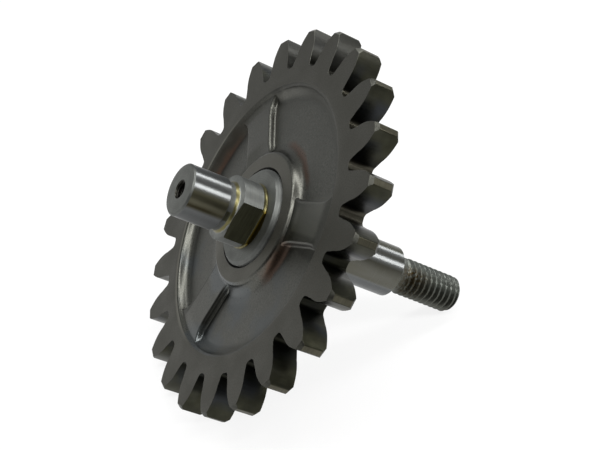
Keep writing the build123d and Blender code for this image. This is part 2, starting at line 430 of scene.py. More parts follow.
def forged_web(finishes):
    """Shot-blasted forging skin: fine pits and walls pressed smoother than the floor. Painted shade
    lies under the rim's and the hub's edges and on the rim's wall over one side, red-brown
    patches in parts of the fillets are a red tint with painted reflection, and two spokes carry
    painted highlights and painted shade along their walls."""
    base = finishes.gear_web[:]
    material, node, local = new_finish("blasted_forging_skin")
    radius = axis_radius(node, local)
    pits = lumps(node, local, 0.22, 4.0)
    cloud = lumps(node, local, 3.0, 3.0)
    blue = lumps(node, local, 7.0, 2.0)
    walls = node("Math", node("MapRange", radius, 12.6, 13.6, 1.0, 0.0),
                 node("MapRange", radius, 18.9, 19.6), operation="MAXIMUM")
    far_side = meet(node, sector(node, local, -110.0, -100.0, 78.0, 12.0),
                    node("MapRange", radius, 18.4, 19.6))
    tone = mottled(node, base, 0.7, 1.32, pits)
    tone = painted(node, tone, shade(base, 0.88), node("MapRange", cloud, 0.4, 0.62, 0.0, 0.4))
    tone = painted(node, tone, linear(0x4F565C),
                   sector(node, local, -10.0, -75.0, 75.0, 35.0),
                   node("MapRange", blue, 0.5, 0.62, 0.0, 0.45))

    # direction, half width, inner and outer radius, strength and colour of each patch: the black
    # and brown ones are painted shade under the edges and on the shaded rim wall, the red ones a red
    # tint with painted reflection
    wander = node("Math", radius, node("MapRange", cloud, 0.3, 0.7, -0.25, 0.25), operation="ADD")
    speckle = node("MapRange", pits, 0.3, 0.6, 0.7, 1.0)
    red, brown, black = finishes.fillet_tint_and_sheen[:], linear(0x3A3026), shade(base, 0.25)
    for start, half, low, high, strength, scale_and_shade in (
            (84, 22, 18.9, 21.0, 0.55, brown), (82, 17, 19.3, 20.2, 0.7, red),
            (-176, 26, 11.6, 12.6, 0.85, red), (-88, 17, 10.5, 12.2, 0.8, red),
            (110, 30, 20.3, 21.2, 0.2, black), (160, 30, 10.3, 11.0, 0.45, black),
            (143, 15, 20.8, 21.6, 0.9, black)):
        tone = painted(node, tone, scale_and_shade, sector(node, local, start, -half, half, 6.0),
                       band(node, wander, low, high, 0.3), speckle, strength)
    # the rim's wall over one side is painted darker: painted shade
    tone = painted(node, tone, shade(base, 0.7), far_side, 0.5)

    # one spoke carries a painted highlight along its top and painted shade along its step
    tone = painted(node, tone, shade(base, 2.2),
                   sector(node, local, -121.0, -11.0, 11.0, 5.0),
                   node("MapRange", radius, 11.0, 11.8),
                   node("MapRange", radius, 18.2, 19.2, 1.0, 0.0),
                   node("MapRange", radius, 12.2, 13.0, 1.0, 0.55))
    tone = painted(node, tone, shade(base, 0.45),
                   sector(node, local, -109.0, -5.0, 5.0, 1.0),
                   band(node, radius, 11.6, 19.0, 0.4), 0.5)

    # one side of the lowest spoke carries painted shade on its wall and in its fillet, with a painted
    # highlight between them at its foot, and its other side is painted a little darker, as shade, and
    # is rougher than the web
    turn = bpy.context.scene.pump_gear.spoke_angle
    off_spoke = offset(node, local, turn - pi / 2)
    near_wall = meet(node, band(node, radius, 11.0, 18.2, 0.5),
                     sector(node, local, -10.0, -20.0, 20.0, 4.0))
    for low, high, soft, strength, factor in ((2.7, 3.32, 0.14, 0.85, 0.3),
                                              (3.4, 3.5, 0.06, 0.9, 1.9),
                                              (3.58, 3.95, 0.08, 0.7, 0.4)):
        tone = painted(node, tone, shade(base, factor), near_wall,
                       band(node, off_spoke, low, high, soft), strength)
    far_wall = meet(node, band(node, radius, 11.0, 20.0, 0.5), band(node, off_spoke, -4.0, -2.6, 0.1),
                    sector(node, local, 10.0, -24.0, 24.0, 4.0))
    tone = painted(node, tone, shade(base, 0.8), far_wall, 0.6)

    dull = node("Math", sector(node, local, 98.0, -34.0, 30.0, 10.0), far_side, operation="MAXIMUM")
    smoother = meet(node, walls, node("MapRange", dull, 0.0, 1.0, 0.09, -0.21))
    rough = node("Math", node("MapRange", pits, 0.3, 0.7, 0.36, 0.42), smoother,
                 operation="SUBTRACT")
    rough = node("Math", far_wall, 0.2, rough, operation="MULTIPLY_ADD")
    pressed = node("MapRange", walls, 0.0, 0.5, 1.0, 0.05)
    return end_finish(material, tone, rough, meet(node, pits, pressed), 0.012)


def hobbed_flank(finishes):
    """Hobbed tooth flanks: olive oil film over cutter marks that run across the tooth, bluish low
    on the flanks. A few teeth on one side carry a painted highlight, the roots are painted near
    black as shade, and on one side the roots' bottoms are painted lighter as a painted highlight."""
    base = finishes.gear_flank[:]
    material, node, local = new_finish("hobbed_flank_steel")
    radius = axis_radius(node, local)
    marks = lumps(node, local, 0.2, 2.0, stretch=(1, 1, 12))
    film = lumps(node, local, 2.5, 3.0)
    blue = lumps(node, local, 6.0, 2.0)
    low_flank = node("MapRange", radius, 27.6, 28.8, 1.0, 0.1)
    tone = mottled(node, base, 0.75, 1.2, film, 0.35, 0.65)
    tone = painted(node, tone, linear(0x31343A), low_flank,
                   node("MapRange", blue, 0.42, 0.58, 0.0, 0.7))
    # the flanks of a few teeth on one side: a painted highlight
    tone = painted(node, tone, linear(0x4A4A47), sector(node, local, 157.0, -28.0, 22.0, 8.0), 0.8)
    # the roots: painted shade, near black
    tone = painted(node, tone, linear(0x171712), node("MapRange", radius, 24.8, 27.0, 0.8, 0.0))
    # on one side the roots' bottoms are painted lighter again: a painted highlight
    tone = painted(node, tone, linear(0x45433B),
                   node("MapRange", radius, 24.2, 24.6, 1.0, 0.0),
                   sector(node, local, -150.0, -35.0, 32.0, 6.0))
    rough = node("MapRange", marks, 0.3, 0.7, 0.32, 0.42)
    return end_finish(material, tone, rough, marks, 0.006)


def turned_tip(finishes):
    """Tip lands, turned before the teeth were cut: rings run round the gear under a thin film."""
    base = finishes.gear_tip[:]
    material, node, local = new_finish("turned_tip_steel")
    rings = lumps(node, local, 0.16, 2.0, stretch=(25, 25, 1))
    film = lumps(node, local, 2.0, 3.0)
    tone = mottled(node, base, 0.85, 1.2, rings)
    tone = painted(node, tone, shade(base, 0.75), node("MapRange", film, 0.4, 0.65, 0.0, 0.5))
    return end_finish(material, tone, node("MapRange", film, 0.3, 0.7, 0.38, 0.48))


def broken_edge(finishes):
    """Deburred edges and turned tip chamfers: brighter than the faces, with small nicks, and a
    painted highlight on the edges of a few teeth on one side."""
    base = finishes.gear_edge[:]
    material, node, local = new_finish("deburred_edge_steel")
    nicks = lumps(node, local, 0.5, 3.0)
    tone = mottled(node, base, 0.75, 1.2, nicks, 0.35, 0.65)
    # the edges of a few teeth on one side: a painted highlight
    tone = painted(node, tone, shade(base, 3.0), sector(node, local, 166.0, -20.0, 20.0, 6.0), 0.8)
    rough = node("MapRange", nicks, 0.3, 0.7, 0.42, 0.54)
    return end_finish(material, tone, rough, nicks, 0.008)


def ground_journal(finishes):
    """Ground journal: hair-fine rings from the wheel spread each lamp along the shaft and leave
    it crisp across. Olive-brown bands along one side of the front journal and strips on the rear
    one are painted dark reflection, tinted olive-brown. The front journal's lower side is
    painted darker as shade and the whole rear journal is painted lighter."""
    base = finishes.journal[:]
    material, node, local = new_finish("ground_journal_steel")
    rings = lumps(node, local, 0.3, 2.0, stretch=(30, 30, 1))
    wear = lumps(node, local, 0.45, 3.0)
    film = lumps(node, local, 2.2, 2.0, stretch=(1, 1, 4))
    station = node("SeparateXYZ", local, out=2)
    turn = around(node, local, -90.0)
    front = node("MapRange", station, -1.0, 0.0, 1.0, 0.0)
    rear = node("MapRange", station, 4.0, 6.0)
    tone = base
    for pattern, low, high, strength, factor in ((film, 0.4, 0.62, 0.3, 0.85),
                                                 (rings, 0.3, 0.7, 0.5, 0.86),
                                                 (wear, 0.5, 0.7, 0.2, 0.7)):
        tone = painted(node, tone, shade(base, factor),
                       node("MapRange", pattern, low, high, 0.0, strength))
    # along one side of the front journal: painted dark reflection, tinted olive-brown
    tone = painted(node, tone, linear(0x7E7A60), front, band(node, turn, -34.0, 4.0, 5.0), 0.75)
    tone = painted(node, tone, linear(0x35301F), front, band(node, turn, -5.0, 6.0, 4.0),
                   node("MapRange", film, 0.3, 0.6, 0.6, 0.9))
    # the front journal's lower side: painted shade
    tone = painted(node, tone, shade(base, 0.35), front, band(node, turn, 12.0, 90.0, 9.0),
                   node("MapRange", turn, 36.0, 50.0, 0.52, 0.8))
    # the rear journal is painted lighter: painted light
    tone = painted(node, tone, shade(base, 1.3), rear, 0.8)
    # directions between which each strip lies, its strength and its colour: strips of painted dark
    # reflection beside the streaks, with a film tint
    for low, high, strength, strip in ((-100.0, -76.0, 0.85, 0x565541), (-62.0, -52.0, 0.7, 0x66645A),
                                       (-34.0, 18.0, 0.85, 0x4B4838), (18.0, 80.0, 0.8, 0x4C4E4E)):
        tone = painted(node, tone, linear(strip), rear, band(node, turn, low, high, 4.0),
                       node("MapRange", film, 0.3, 0.7, 0.8 * strength, strength))
    rough = node("MapRange", rings, 0.3, 0.7, 0.33, 0.35)
    rough = node("Math", rear, -0.06, rough, operation="MULTIPLY_ADD")
    return end_finish(material, tone, rough, turned=1.0)


def turned_steel(finishes):
    """Fine-turned faces: tool rings 0.12 mm apart round the axis, on a matt grey. On the collar a
    painted reflection makes one part lighter and another darker. A setting-out line is scribed
    on the collar beside one flat."""
    base = finishes.turned[:]
    material, node, local = new_finish("fine_turned_steel")
    station = node("SeparateXYZ", local, out=2)
    rings = lumps(node, node("CombineXYZ", axis_radius(node, local), station), 0.12, 2.0)
    cloud = lumps(node, local, 1.5, 3.0)
    tone = mottled(node, base, 0.86, 1.14, rings)
    tone = painted(node, tone, shade(base, 0.85), node("MapRange", cloud, 0.4, 0.65, 0.0, 0.4))
    collar = band(node, station, -1.0, -0.3, 0.1)
    # on the collar: a painted reflection, lighter on one part and darker on another
    for start, strength, factor in ((-156.0, 0.9, 1.4), (-92.0, 0.7, 0.72)):
        tone = painted(node, tone, shade(base, factor), collar,
                       sector(node, local, start, -16.0, 16.0, 9.0), strength)
    turn = bpy.context.scene.pump_shaft.flat_angle
    across, along = offset(node, local, turn), offset(node, local, turn + pi / 2)
    for low, high, factor in ((4.08, 4.18, 1.5), (4.2, 4.3, 0.45)):
        tone = painted(node, tone, shade(base, factor), collar, band(node, along, 3.9, 5.5, 0.3),
                       band(node, across, low, high, 0.03), 0.7)
    rough = node("MapRange", cloud, 0.3, 0.7, 0.46, 0.56)
    return end_finish(material, tone, rough, rings, 0.003)


def turned_barrel(finishes):
    """Fine-turned barrel and chamfers: rings 0.15 mm apart spread the lamps along the shaft and
    the matt surface runs both streaks into one."""
    base = finishes.barrel[:]
    material, node, local = new_finish("turned_barrel_steel")
    rings = lumps(node, local, 0.15, 2.0, stretch=(40, 40, 1))
    cloud = lumps(node, local, 1.2, 3.0)
    tone = mottled(node, base, 0.84, 1.14, rings)
    tone = painted(node, tone, shade(base, 0.88), node("MapRange", cloud, 0.4, 0.65, 0.0, 0.3))
    rough = node("MapRange", cloud, 0.3, 0.7, 0.6, 0.68)
    return end_finish(material, tone, rough, turned=0.8)


def milled_flat(finishes):
    """Milled flats, left dark by cutting oil: straight cutter lines across the shaft."""
    base = finishes.flat[:]
    material, node, local = new_finish("milled_flat_steel")
    lines = lumps(node, local, 0.15, 2.0, stretch=(25, 25, 1))
    tone = mottled(node, base, 0.85, 1.2, lines)
    rough = node("MapRange", lines, 0.3, 0.7, 0.34, 0.44)
    return end_finish(material, tone, rough, lines, 0.003)


def straw_undercut(finishes):
    """Undercuts: matt bare steel with a straw temper line from grinding heat along the shoulder of
    the barrel, and straw again in the groove at the barrel's foot, browner under the flats."""
    base, bare = finishes.straw[:], finishes.barrel[:]
    material, node, local = new_finish("straw_tempered_steel")
    shaft = bpy.context.scene.pump_shaft
    turn = shaft.flat_angle
    shoulder = (shaft.barrel_front - shaft.barrel_chamfer_run) / MM
    heat = lumps(node, local, 1.1, 2.0)
    station = node("SeparateXYZ", local, out=2)
    wander = node("Math", station, node("MapRange", heat, 0.3, 0.7, -0.08, 0.08), operation="ADD")
    line = band(node, wander, shoulder - 0.56, shoulder - 0.08, 0.07)
    groove = node("MapRange", station, -1.4, -1.1)
    across = node("Math", offset(node, local, turn), operation="ABSOLUTE")
    tone = painted(node, mottled(node, bare, 0.72, 0.88, heat), shade(base, 0.9), line)
    # a pale ring along the barrel's shoulder edge: a painted highlight
    tone = painted(node, tone, shade(bare, 1.25),
                   band(node, wander, shoulder - 0.1, shoulder + 0.1, 0.05), 0.8)
    tone = painted(node, tone, mottled(node, base, 0.6, 0.95, heat, 0.35, 0.65), groove)
    tone = painted(node, tone, linear(0x4E4319), groove, node("MapRange", across, 3.72, 3.95))
    glossy = node("Math", line, groove, operation="MAXIMUM")
    rough = node("MapRange", glossy, 0.0, 1.0, 0.58, 0.36)
    return end_finish(material, tone, rough, turned=0.4)


def rolled_thread(finishes):
    """Rolled thread: dull olive-grey, painted darker below as shade, with brown preserving oil near
    the neck. The tapped hole is painted darker still, as shade inside the hole."""
    base = finishes.thread[:]
    material, node, local = new_finish("rolled_thread_steel")
    spots = lumps(node, local, 0.45, 3.0)
    station = node("SeparateXYZ", local, out=2)
    near_neck = band(node, station, 26.0, 31.0, 2.0)
    tone = mottled(node, base, 0.9, 1.1, spots, 0.35, 0.65)
    tone = painted(node, tone, linear(0x41341E), near_neck,
                   sector(node, local, -105.0, -46.0, 56.0, 12.0),
                   node("MapRange", spots, 0.38, 0.55))
    # the lower side: painted shade
    tone = painted(node, tone, linear(0x3C3B32),
                   sector(node, local, -70.0, -42.0, 70.0, 16.0), 0.62)
    # inside the tapped hole: painted shade
    tone = painted(node, tone, linear(0x2A2823), node("MapRange", station, -3.0, 0.0, 0.9, 0.0))
    rough = node("MapRange", spots, 0.3, 0.7, 0.32, 0.42)
    rough = node("Math", near_neck, 0.14, rough, operation="MULTIPLY_ADD")
    return end_finish(material, tone, rough, spots, 0.003)


# Gear, with its front face at height zero and its axis along Z

# the gear's finishes and their places in the list, the steps of the disc, of a flank and of an arc
# in a spoke's section, and the area in square metres below which an upright face is a broken edge
GEAR_FINISHES = ground_gear_face, forged_web, hobbed_flank, broken_edge, turned_tip
FACE, WEB, FLANK, EDGE, TIP = range(len(GEAR_FINISHES))
STEPS_PER_TOOTH_AND_SPOKE = 8
FLANK_STEPS = 8
ARC_STEPS = 8
SMALLEST_FLANK = 0.06e-6


def involute(pressure):
    """Involute function."""
    return tan(pressure) - pressure


def tooth_half_angle(gear, radius):
    """Half the angle of a tooth at a radius, eased towards the tip."""
    pitch_radius = gear.module * gear.tooth_count / 2
    base = pitch_radius * cos(gear.pressure_angle)
    eased = gear.tip_relief * max(0.0, (radius - pitch_radius) / gear.module) ** 1.5
    return (pi / (2 * gear.tooth_count) + involute(gear.pressure_angle)
            - involute(acos(min(1.0, base / radius))) - eased / radius)


def add_teeth(bm, gear, arc_steps):
    """One tooth as a prism on the ring, chamfered at its tip, then turned into all of them."""
    pitch = 2 * pi / gear.tooth_count
    pitch_radius = gear.module * gear.tooth_count / 2
    tip, root = pitch_radius + gear.module, pitch_radius - gear.root_depth
    base = pitch_radius * cos(gear.pressure_angle)
    ring = gear.join_radius

    # outline of one tooth, from the middle of its tip to the middle of the next space, mirrored
    radii = [tip + (base - tip) * step / FLANK_STEPS for step in range(FLANK_STEPS + 1)]
    polar = [(tip, 0), *[(radius, tooth_half_angle(gear, radius)) for radius in radii],
             (root, pitch / 2 - gear.root_width / 2 / root), (root, pitch / 2)]
    half = wire(bm, [(r * cos(a), r * sin(a), 0) for r, a in polar])
    corners = (half[-2].co.copy(), gear.root_radius, 6), (half[1].co.copy(), gear.tip_radius, 3)
    for corner, radius, segments in corners:
        round_corner(bm, corner, radius, segments)
    bmesh.ops.mirror(bm, geom=bm.verts[:] + bm.edges[:], matrix=Matrix(), axis="Y", merge_dist=SAME)

    # the outline is closed by an arc of the ring and drawn out to the face width
    ends = sorted((v for v in bm.verts if len(v.link_edges) == 1), key=lambda v: v.co.y)
    seed = bm.verts.new((ring * cos(pitch / 2), -ring * sin(pitch / 2), 0))
    arc = bmesh.ops.spin(bm, geom=[seed], cent=(0, 0, 0), axis=(0, 0, 1), dvec=(0, 0, 0),
                         angle=pitch, steps=arc_steps, use_merge=False, use_duplicate=False)
    last = next(g for g in arc["geom_last"] if isinstance(g, bmesh.types.BMVert))
    bm.edges.new((ends[0], seed))
    bm.edges.new((ends[1], last))
    bmesh.ops.contextual_create(bm, geom=bm.edges[:])
    grown = bmesh.ops.extrude_face_region(bm, geom=bm.faces[:])
    bmesh.ops.translate(bm, vec=(0, 0, gear.face_width),
                        verts=[g for g in grown["geom"] if isinstance(g, bmesh.types.BMVert)])

    # walls that would lie inside the gear, on the ring and between two teeth, are left out
    hidden = []
    for face in bm.faces:
        upright = len({round(v.co.z, 7) for v in face.verts}) > 1
        on_ring = all(v.co.xy.length < ring + NEAR for v in face.verts)
        on_side = all(abs(abs(atan2(v.co.y, v.co.x)) - pitch / 2) < 1e-5 for v in face.verts)
        if upright and (on_ring or on_side):
            hidden.append(face)
    bmesh.ops.delete(bm, geom=hidden, context="FACES")

    # the tip's two corners are cut off by a slanting plane each
    for station, lean in ((0, -1), (gear.face_width, 1)):
        cut = bmesh.ops.bisect_plane(bm, geom=bm.verts[:] + bm.edges[:] + bm.faces[:], dist=1e-8,
                                     plane_co=(tip - gear.tip_chamfer, 0, station),
                                     plane_no=Vector((1, 0, lean)).normalized(), clear_outer=True)
        bmesh.ops.contextual_create(
            bm, geom=[g for g in cut["geom_cut"] if isinstance(g, bmesh.types.BMEdge)])

    # all teeth, and the deburred edge along their outline
    bmesh.ops.rotate(bm, verts=bm.verts[:], cent=(0, 0, 0), matrix=Matrix.Rotation(pitch / 2, 3, "Z"))
    bmesh.ops.spin(bm, geom=bm.verts[:] + bm.edges[:] + bm.faces[:], cent=(0, 0, 0),
                   axis=(0, 0, 1), dvec=(0, 0, 0), angle=2 * pi - pitch,
                   steps=gear.tooth_count - 1, use_merge=False, use_duplicate=True)
    bmesh.ops.remove_doubles(bm, verts=bm.verts[:], dist=MERGE)
    bmesh.ops.recalc_face_normals(bm, faces=bm.faces[:])
    edges = [e for e in bm.edges if e.is_manifold and e.calc_face_angle() > BREAK_ANGLE]
    bmesh.ops.bevel(bm, geom=edges, offset=gear.edge_break, offset_type="OFFSET", segments=2,
                    profile=0.5, affect="EDGES", clamp_overlap=True, material=-1)


def add_disc(bm, gear, steps):
    """Turned disc inside the teeth: rim and hub faces, bore, and the sunk web's walls."""
    deep, wide = gear.web_depth, gear.face_width
    chain = wire(bm, [(r, 0, z) for r, z in (
        (gear.join_radius, 0),
        (gear.rim_radius, 0),
        (gear.rim_radius - gear.web_wall_run, deep),
        (gear.hub_radius + gear.web_wall_run, deep),
        (gear.hub_radius, 0),
        (gear.bore_radius + gear.bore_chamfer, 0),
        (gear.bore_radius, gear.bore_chamfer),
        (gear.bore_radius, wide - gear.bore_chamfer),
        (gear.bore_radius + gear.bore_chamfer, wide),
        (gear.join_radius, wide))])
    floor_edge = next(e for e in chain[2].link_edges if e.other_vert(chain[2]) is chain[3])
    rim_edge, rim_foot, hub_foot, hub_edge = [v.co.copy() for v in chain[1:5]]
    bmesh.ops.subdivide_edges(bm, edges=[floor_edge], cuts=5)
    for corner in (rim_edge, hub_edge):
        round_corner(bm, corner, gear.web_edge_radius, 6)
    for corner in (rim_foot, hub_foot):
        round_corner(bm, corner, gear.web_fillet, 12)
    loose = [e for e in bm.edges if not e.link_faces]
    spin_full(bm, steps, list({v for e in loose for v in e.verts}) + loose)


def spoke_section(gear):
    """Offsets from a spoke's middle and heights above the web's floor, out to past its foot."""
    height, half = gear.web_depth - gear.spoke_depth, gear.spoke_width / 2
    lean = atan2(height, gear.spoke_wall_run)
    top = half - gear.spoke_edge_radius * tan(lean / 2)
    foot = half + gear.spoke_wall_run + gear.spoke_fillet * tan(lean / 2)
    turns = [lean * step / ARC_STEPS for step in range(ARC_STEPS + 1)]
    edge = [(top + gear.spoke_edge_radius * sin(turn),
             height - gear.spoke_edge_radius * (1 - cos(turn))) for turn in turns]
    fillet = [(foot - gear.spoke_fillet * sin(turn), gear.spoke_fillet * (1 - cos(turn)))
              for turn in reversed(turns)]
    return [(0, height), (top / 2, height), (top * 0.93, height), *edge, *fillet,
            (foot + (foot - top) * 0.3, 0)]


def spoke_flare(gear, radius):
    """How far a spoke's side has moved out where it sweeps into the hub and the rim."""
    flare = 0.0
    # way to the wall, its radius, where the sweep starts before it, its run, and its full size
    for way, wall, start, run, size in (
            (-1, gear.hub_radius, 2.4 * MM, 2.0 * MM, gear.spoke_hub_flare),
            (1, gear.rim_radius, 3.2 * MM, 2.9 * MM, gear.spoke_rim_flare)):
        flare += size * held((way * (radius - wall) + start) / run) ** 2
    return flare


def raise_spokes(bm, gear, steps):
    """Gathers the disc's columns along the spokes and lifts the web's floor to their height."""
    section = spoke_section(gear)
    reach = len(section) - 1
    per_spoke = steps // gear.spoke_count
    step_angle = 2 * pi / steps
    first = round((gear.spoke_angle % (2 * pi)) / step_angle)
    inner, outer = gear.rim_radius + gear.web_edge_radius, gear.join_radius
    for vert in bm.verts:
        radius = vert.co.xy.length
        if radius > outer - NEAR or vert.co.z > gear.face_width / 2:
            continue

        # a column beside a spoke goes to its place in the section, the others share what is left
        column = round((atan2(vert.co.y, vert.co.x) % (2 * pi)) / step_angle)
        place = (column - first + per_spoke // 2) % per_spoke - per_spoke // 2
        count = abs(place)
        flare = spoke_flare(gear, radius)
        if count <= reach:
            beside, height = section[count]
            turn = asin(min(1.0, (beside + flare * min(1.0, beside / section[2][0])) / radius))
        else:
            edge = asin(min(1.0, (section[reach][0] + flare) / radius))
            turn = edge + (pi / gear.spoke_count - edge) * (count - reach) / (per_spoke / 2 - reach)
            height = 0.0

        # towards the ring of the teeth the columns come back to equal steps
        whole = round((column - first - place) / per_spoke)
        middle = gear.spoke_angle + whole * 2 * pi / gear.spoke_count
        drawn = middle + (turn if place >= 0 else -turn)
        plain = column * step_angle
        plain += 2 * pi * round((drawn - plain) / (2 * pi))
        final = plain + (drawn - plain) * held((outer - radius) / (outer - inner))
        vert.co.x, vert.co.y = radius * cos(final), radius * sin(final)

        # the spoke is lifted out of the web and blended into the walls that it meets
        if vert.co.z <= gear.web_depth + NEAR:
            ground, blend = gear.web_depth - vert.co.z, gear.spoke_blend
            gap = max(0.0, blend - abs(ground - height))
            share = min(1.0, min(ground, height) / (0.25 * blend))
            vert.co.z = gear.web_depth - max(ground, height) - gap ** 2 / (4 * blend) * share


class PUMPSHAFT_OT_gear(bpy.types.Operator):
    """Build the drive gear with its teeth, sunk web and spokes"""
    bl_idname = "pump_shaft.gear"
    bl_label = "Drive Gear"

    def execute(self, context):
        gear = context.scene.pump_gear
        per_tooth = STEPS_PER_TOOTH_AND_SPOKE * gear.spoke_count
        steps = per_tooth * gear.tooth_count
        bm = bmesh.new()
        add_teeth(bm, gear, per_tooth)
        add_disc(bm, gear, steps)
        raise_spokes(bm, gear, steps)
        root = gear.module * gear.tooth_count / 2 - gear.root_depth

        def pick(face):
            """Finish of a face, from where it lies, how it is turned and how large it is."""
            centre, normal = face.calc_center_median(), face.normal
            radius, level = centre.xy.length, abs(normal.z)
            if radius <= root - 1.5 * MM:
                sunk = 0.02 * MM < centre.z < gear.face_width / 2
                return WEB if sunk and radius > gear.bore_radius + 1 * MM else FACE
            if level > 0.99:
                return FACE
            if level < 0.05 and normal.xy.dot(centre.xy) / radius > 0.97 and radius > root + 1 * MM:
                return TIP
            if level < 0.05 and face.calc_area() > SMALLEST_FLANK:
                return FLANK
            return EDGE if level > 0.05 or radius > root + 1.2 * MM else FLANK

        finish_piece(bm, "drive_gear", GEAR_FINISHES, pick, "gear")
        return {"FINISHED"}


# Shaft, with the gear's front face at station zero and its axis along Z

# the shaft's finishes and their places in the list, the steps round it, the turns of the tapped
# thread, the rows that each turn of a thread takes, and how far its rows begin before the thread
SHAFT_FINISHES = (ground_journal, turned_steel, milled_flat, straw_undercut, rolled_thread,
                  turned_barrel)
JOURNAL, TURNED, FLAT, STRAW, THREAD, BARREL = range(len(SHAFT_FINISHES))
SHAFT_STEPS = 120
TAP_TURNS = 6
TAP_ROWS = 16
THREAD_ROWS = 20
ROWS_AHEAD = 0.3 * MM


def thread_drop(turns, pitch, depth):
    """How far a thread's surface lies below its crest, a number of turns from the crest: a flat
    crest of an eighth of the pitch, then flanks of 60 degrees."""
    away = abs((turns + 0.5) % 1 - 0.5) * pitch
    return min(depth, max(0.0, (away - pitch / 16) * sqrt(3)))


def shaft_profile(bm, shaft, gear):
    """Half section of the shaft, from the bottom of the tapped hole to the threaded end."""
    wide, proud = gear.face_width, shaft.collar_proud
    shoulder = shaft.barrel_front - shaft.barrel_chamfer_run
    relief = -proud - shaft.base_undercut_width
    hole_end = shaft.front_end + shaft.tap_depth
    tap_start = shaft.front_end + shaft.tap_sink
    # radius and station in metres, corner radius in millimetres
    points = [
        (0, hole_end + 0.7 * shaft.tap_radius, 0),
        (shaft.tap_radius, hole_end, 0),
        (shaft.tap_radius, tap_start + TAP_TURNS * shaft.tap_pitch, 0),
        (shaft.tap_radius, tap_start, 0),
        (shaft.tap_radius + shaft.tap_sink, shaft.front_end, 0),
        (shaft.journal_radius - shaft.front_chamfer, shaft.front_end, 0.06),
        (shaft.journal_radius, shaft.front_end + shaft.front_chamfer, 0.06),
        (shaft.journal_radius, shaft.front_journal_end - shaft.journal_edge, 0),
        (shaft.journal_radius - shaft.journal_edge, shaft.front_journal_end, 0),
        (shaft.front_undercut, shaft.front_journal_end, 0.12),
        (shaft.front_undercut, shoulder - shaft.front_undercut_run, 0.5),
        (shaft.barrel_radius - shaft.barrel_chamfer_depth, shoulder, 0.15),
        (shaft.barrel_radius, shaft.barrel_front, 0.08),
        (shaft.barrel_radius, relief, 0.05),
        (shaft.base_undercut, relief, 0.08),
        (shaft.base_undercut, -proud, 0.3),
        (shaft.collar_radius - shaft.collar_chamfer, -proud, 0.06),
        (shaft.collar_radius, shaft.collar_chamfer - proud, 0.06),
        (shaft.collar_radius, wide + proud - shaft.collar_chamfer, 0.06),
        (shaft.collar_radius - shaft.collar_chamfer, wide + proud, 0.06),
        (shaft.journal_radius, wide + proud, shaft.journal_root / MM),
        (shaft.journal_radius, shaft.rear_journal_end - shaft.journal_edge, 0),
        (shaft.journal_radius - shaft.journal_edge, shaft.rear_journal_end, 0),
        (shaft.neck_radius, shaft.rear_journal_end, 0.15),
        (shaft.neck_radius, shaft.thread_start - ROWS_AHEAD, 0),
        (shaft.neck_radius, shaft.thread_end, 0),
        (0, shaft.thread_end, 0),
    ]
    corners = [v.co.copy() for v in wire(bm, [(r, 0, z) for r, z, _ in points])]
    # the runs that become threads get rows fine enough for the flanks
    start, end = points[-3][1], points[-2][1]
    divide_run(bm, start, end, round((end - start) / shaft.thread_pitch * THREAD_ROWS) - 1)
    divide_run(bm, points[3][1], points[2][1], TAP_TURNS * TAP_ROWS - 1)
    for corner, (_, _, radius) in zip(corners, points):
        if radius:
            round_corner(bm, corner, radius * MM, 4 if radius < 0.2 else 6)


def flat_distance(shaft, station):
    """Distance of a milled flat from the axis, with the cutter's corner at its foot."""
    foot = -shaft.collar_proud - shaft.flat_fillet
    if station <= foot:
        return shaft.across_flats / 2
    into = min(1.0, (station - foot) / shaft.flat_fillet)
    return shaft.across_flats / 2 + shaft.flat_fillet * (1 - sqrt(1 - into ** 2))


def mill_flats(bm, shaft):
    """Moves the barrel's columns to the edges of the two flats and presses them in."""
    step_angle = 2 * pi / SHAFT_STEPS
    edge = step_angle * round(acos(shaft.across_flats / 2 / shaft.barrel_radius) / step_angle)
    for vert in bm.verts:
        radius, station = vert.co.xy.length, vert.co.z
        if not shaft.front_journal_end < station < -shaft.collar_proud + SAME:
            continue
        flat = flat_distance(shaft, station)
        if radius <= flat + SAME or radius > shaft.barrel_radius + SAME:
            continue
        direction = atan2(vert.co.y, vert.co.x)
        half_turns = round(direction / pi)
        away = direction - half_turns * pi
        corner = acos(flat / radius)
        if abs(away) <= edge + NEAR:
            drawn = away * corner / edge
            radius = flat / cos(drawn)
        else:
            rest = (pi / 2 - abs(away)) * (pi / 2 - corner) / (pi / 2 - edge)
            drawn = (pi / 2 - rest) * (1 if away > 0 else -1)
        final = half_turns * pi + drawn
        vert.co.x, vert.co.y = radius * cos(final), radius * sin(final)


def cut_threads(bm, shaft):
    """Presses the outside thread into the rear end and the inside one into the tapped hole."""
    neck, tap = shaft.neck_radius, shaft.tap_radius
    tap_start = shaft.front_end + shaft.tap_sink
    tap_stop = tap_start + TAP_TURNS * shaft.tap_pitch
    for vert in bm.verts:
        radius, station = vert.co.xy.length, vert.co.z
        if radius < NEAR:
            continue
        direction = atan2(vert.co.y, vert.co.x) + shaft.flat_angle
        if station > shaft.thread_start - ROWS_AHEAD - SAME and radius > 0.9 * neck:
            turns = ((station - shaft.thread_crest) / shaft.thread_pitch
                     - (direction - shaft.thread_phase) / (2 * pi))
            full = shaft.thread_radius - thread_drop(turns, shaft.thread_pitch, shaft.thread_depth)
            grown = held((station - shaft.thread_start + 0.2 * MM) / (0.9 * MM))
            lead = shaft.thread_radius - shaft.thread_lead + shaft.thread_end - station
            run_in = neck + max(0.0, station - shaft.thread_start)
            new = min(neck + (full - neck) * grown, lead, run_in)
        elif tap_start - SAME < station < tap_stop + SAME and abs(radius - tap) < NEAR:
            turns = station / shaft.tap_pitch - direction / (2 * pi)
            drop = thread_drop(turns + 0.5, shaft.tap_pitch, shaft.tap_thread)
            new = tap + min(shaft.tap_thread - drop, shaft.tap_sink)
            if station < tap_start + SAME:
                new = tap + shaft.tap_sink / 2
        else:
            continue
        vert.co.x *= new / radius
        vert.co.y *= new / radius


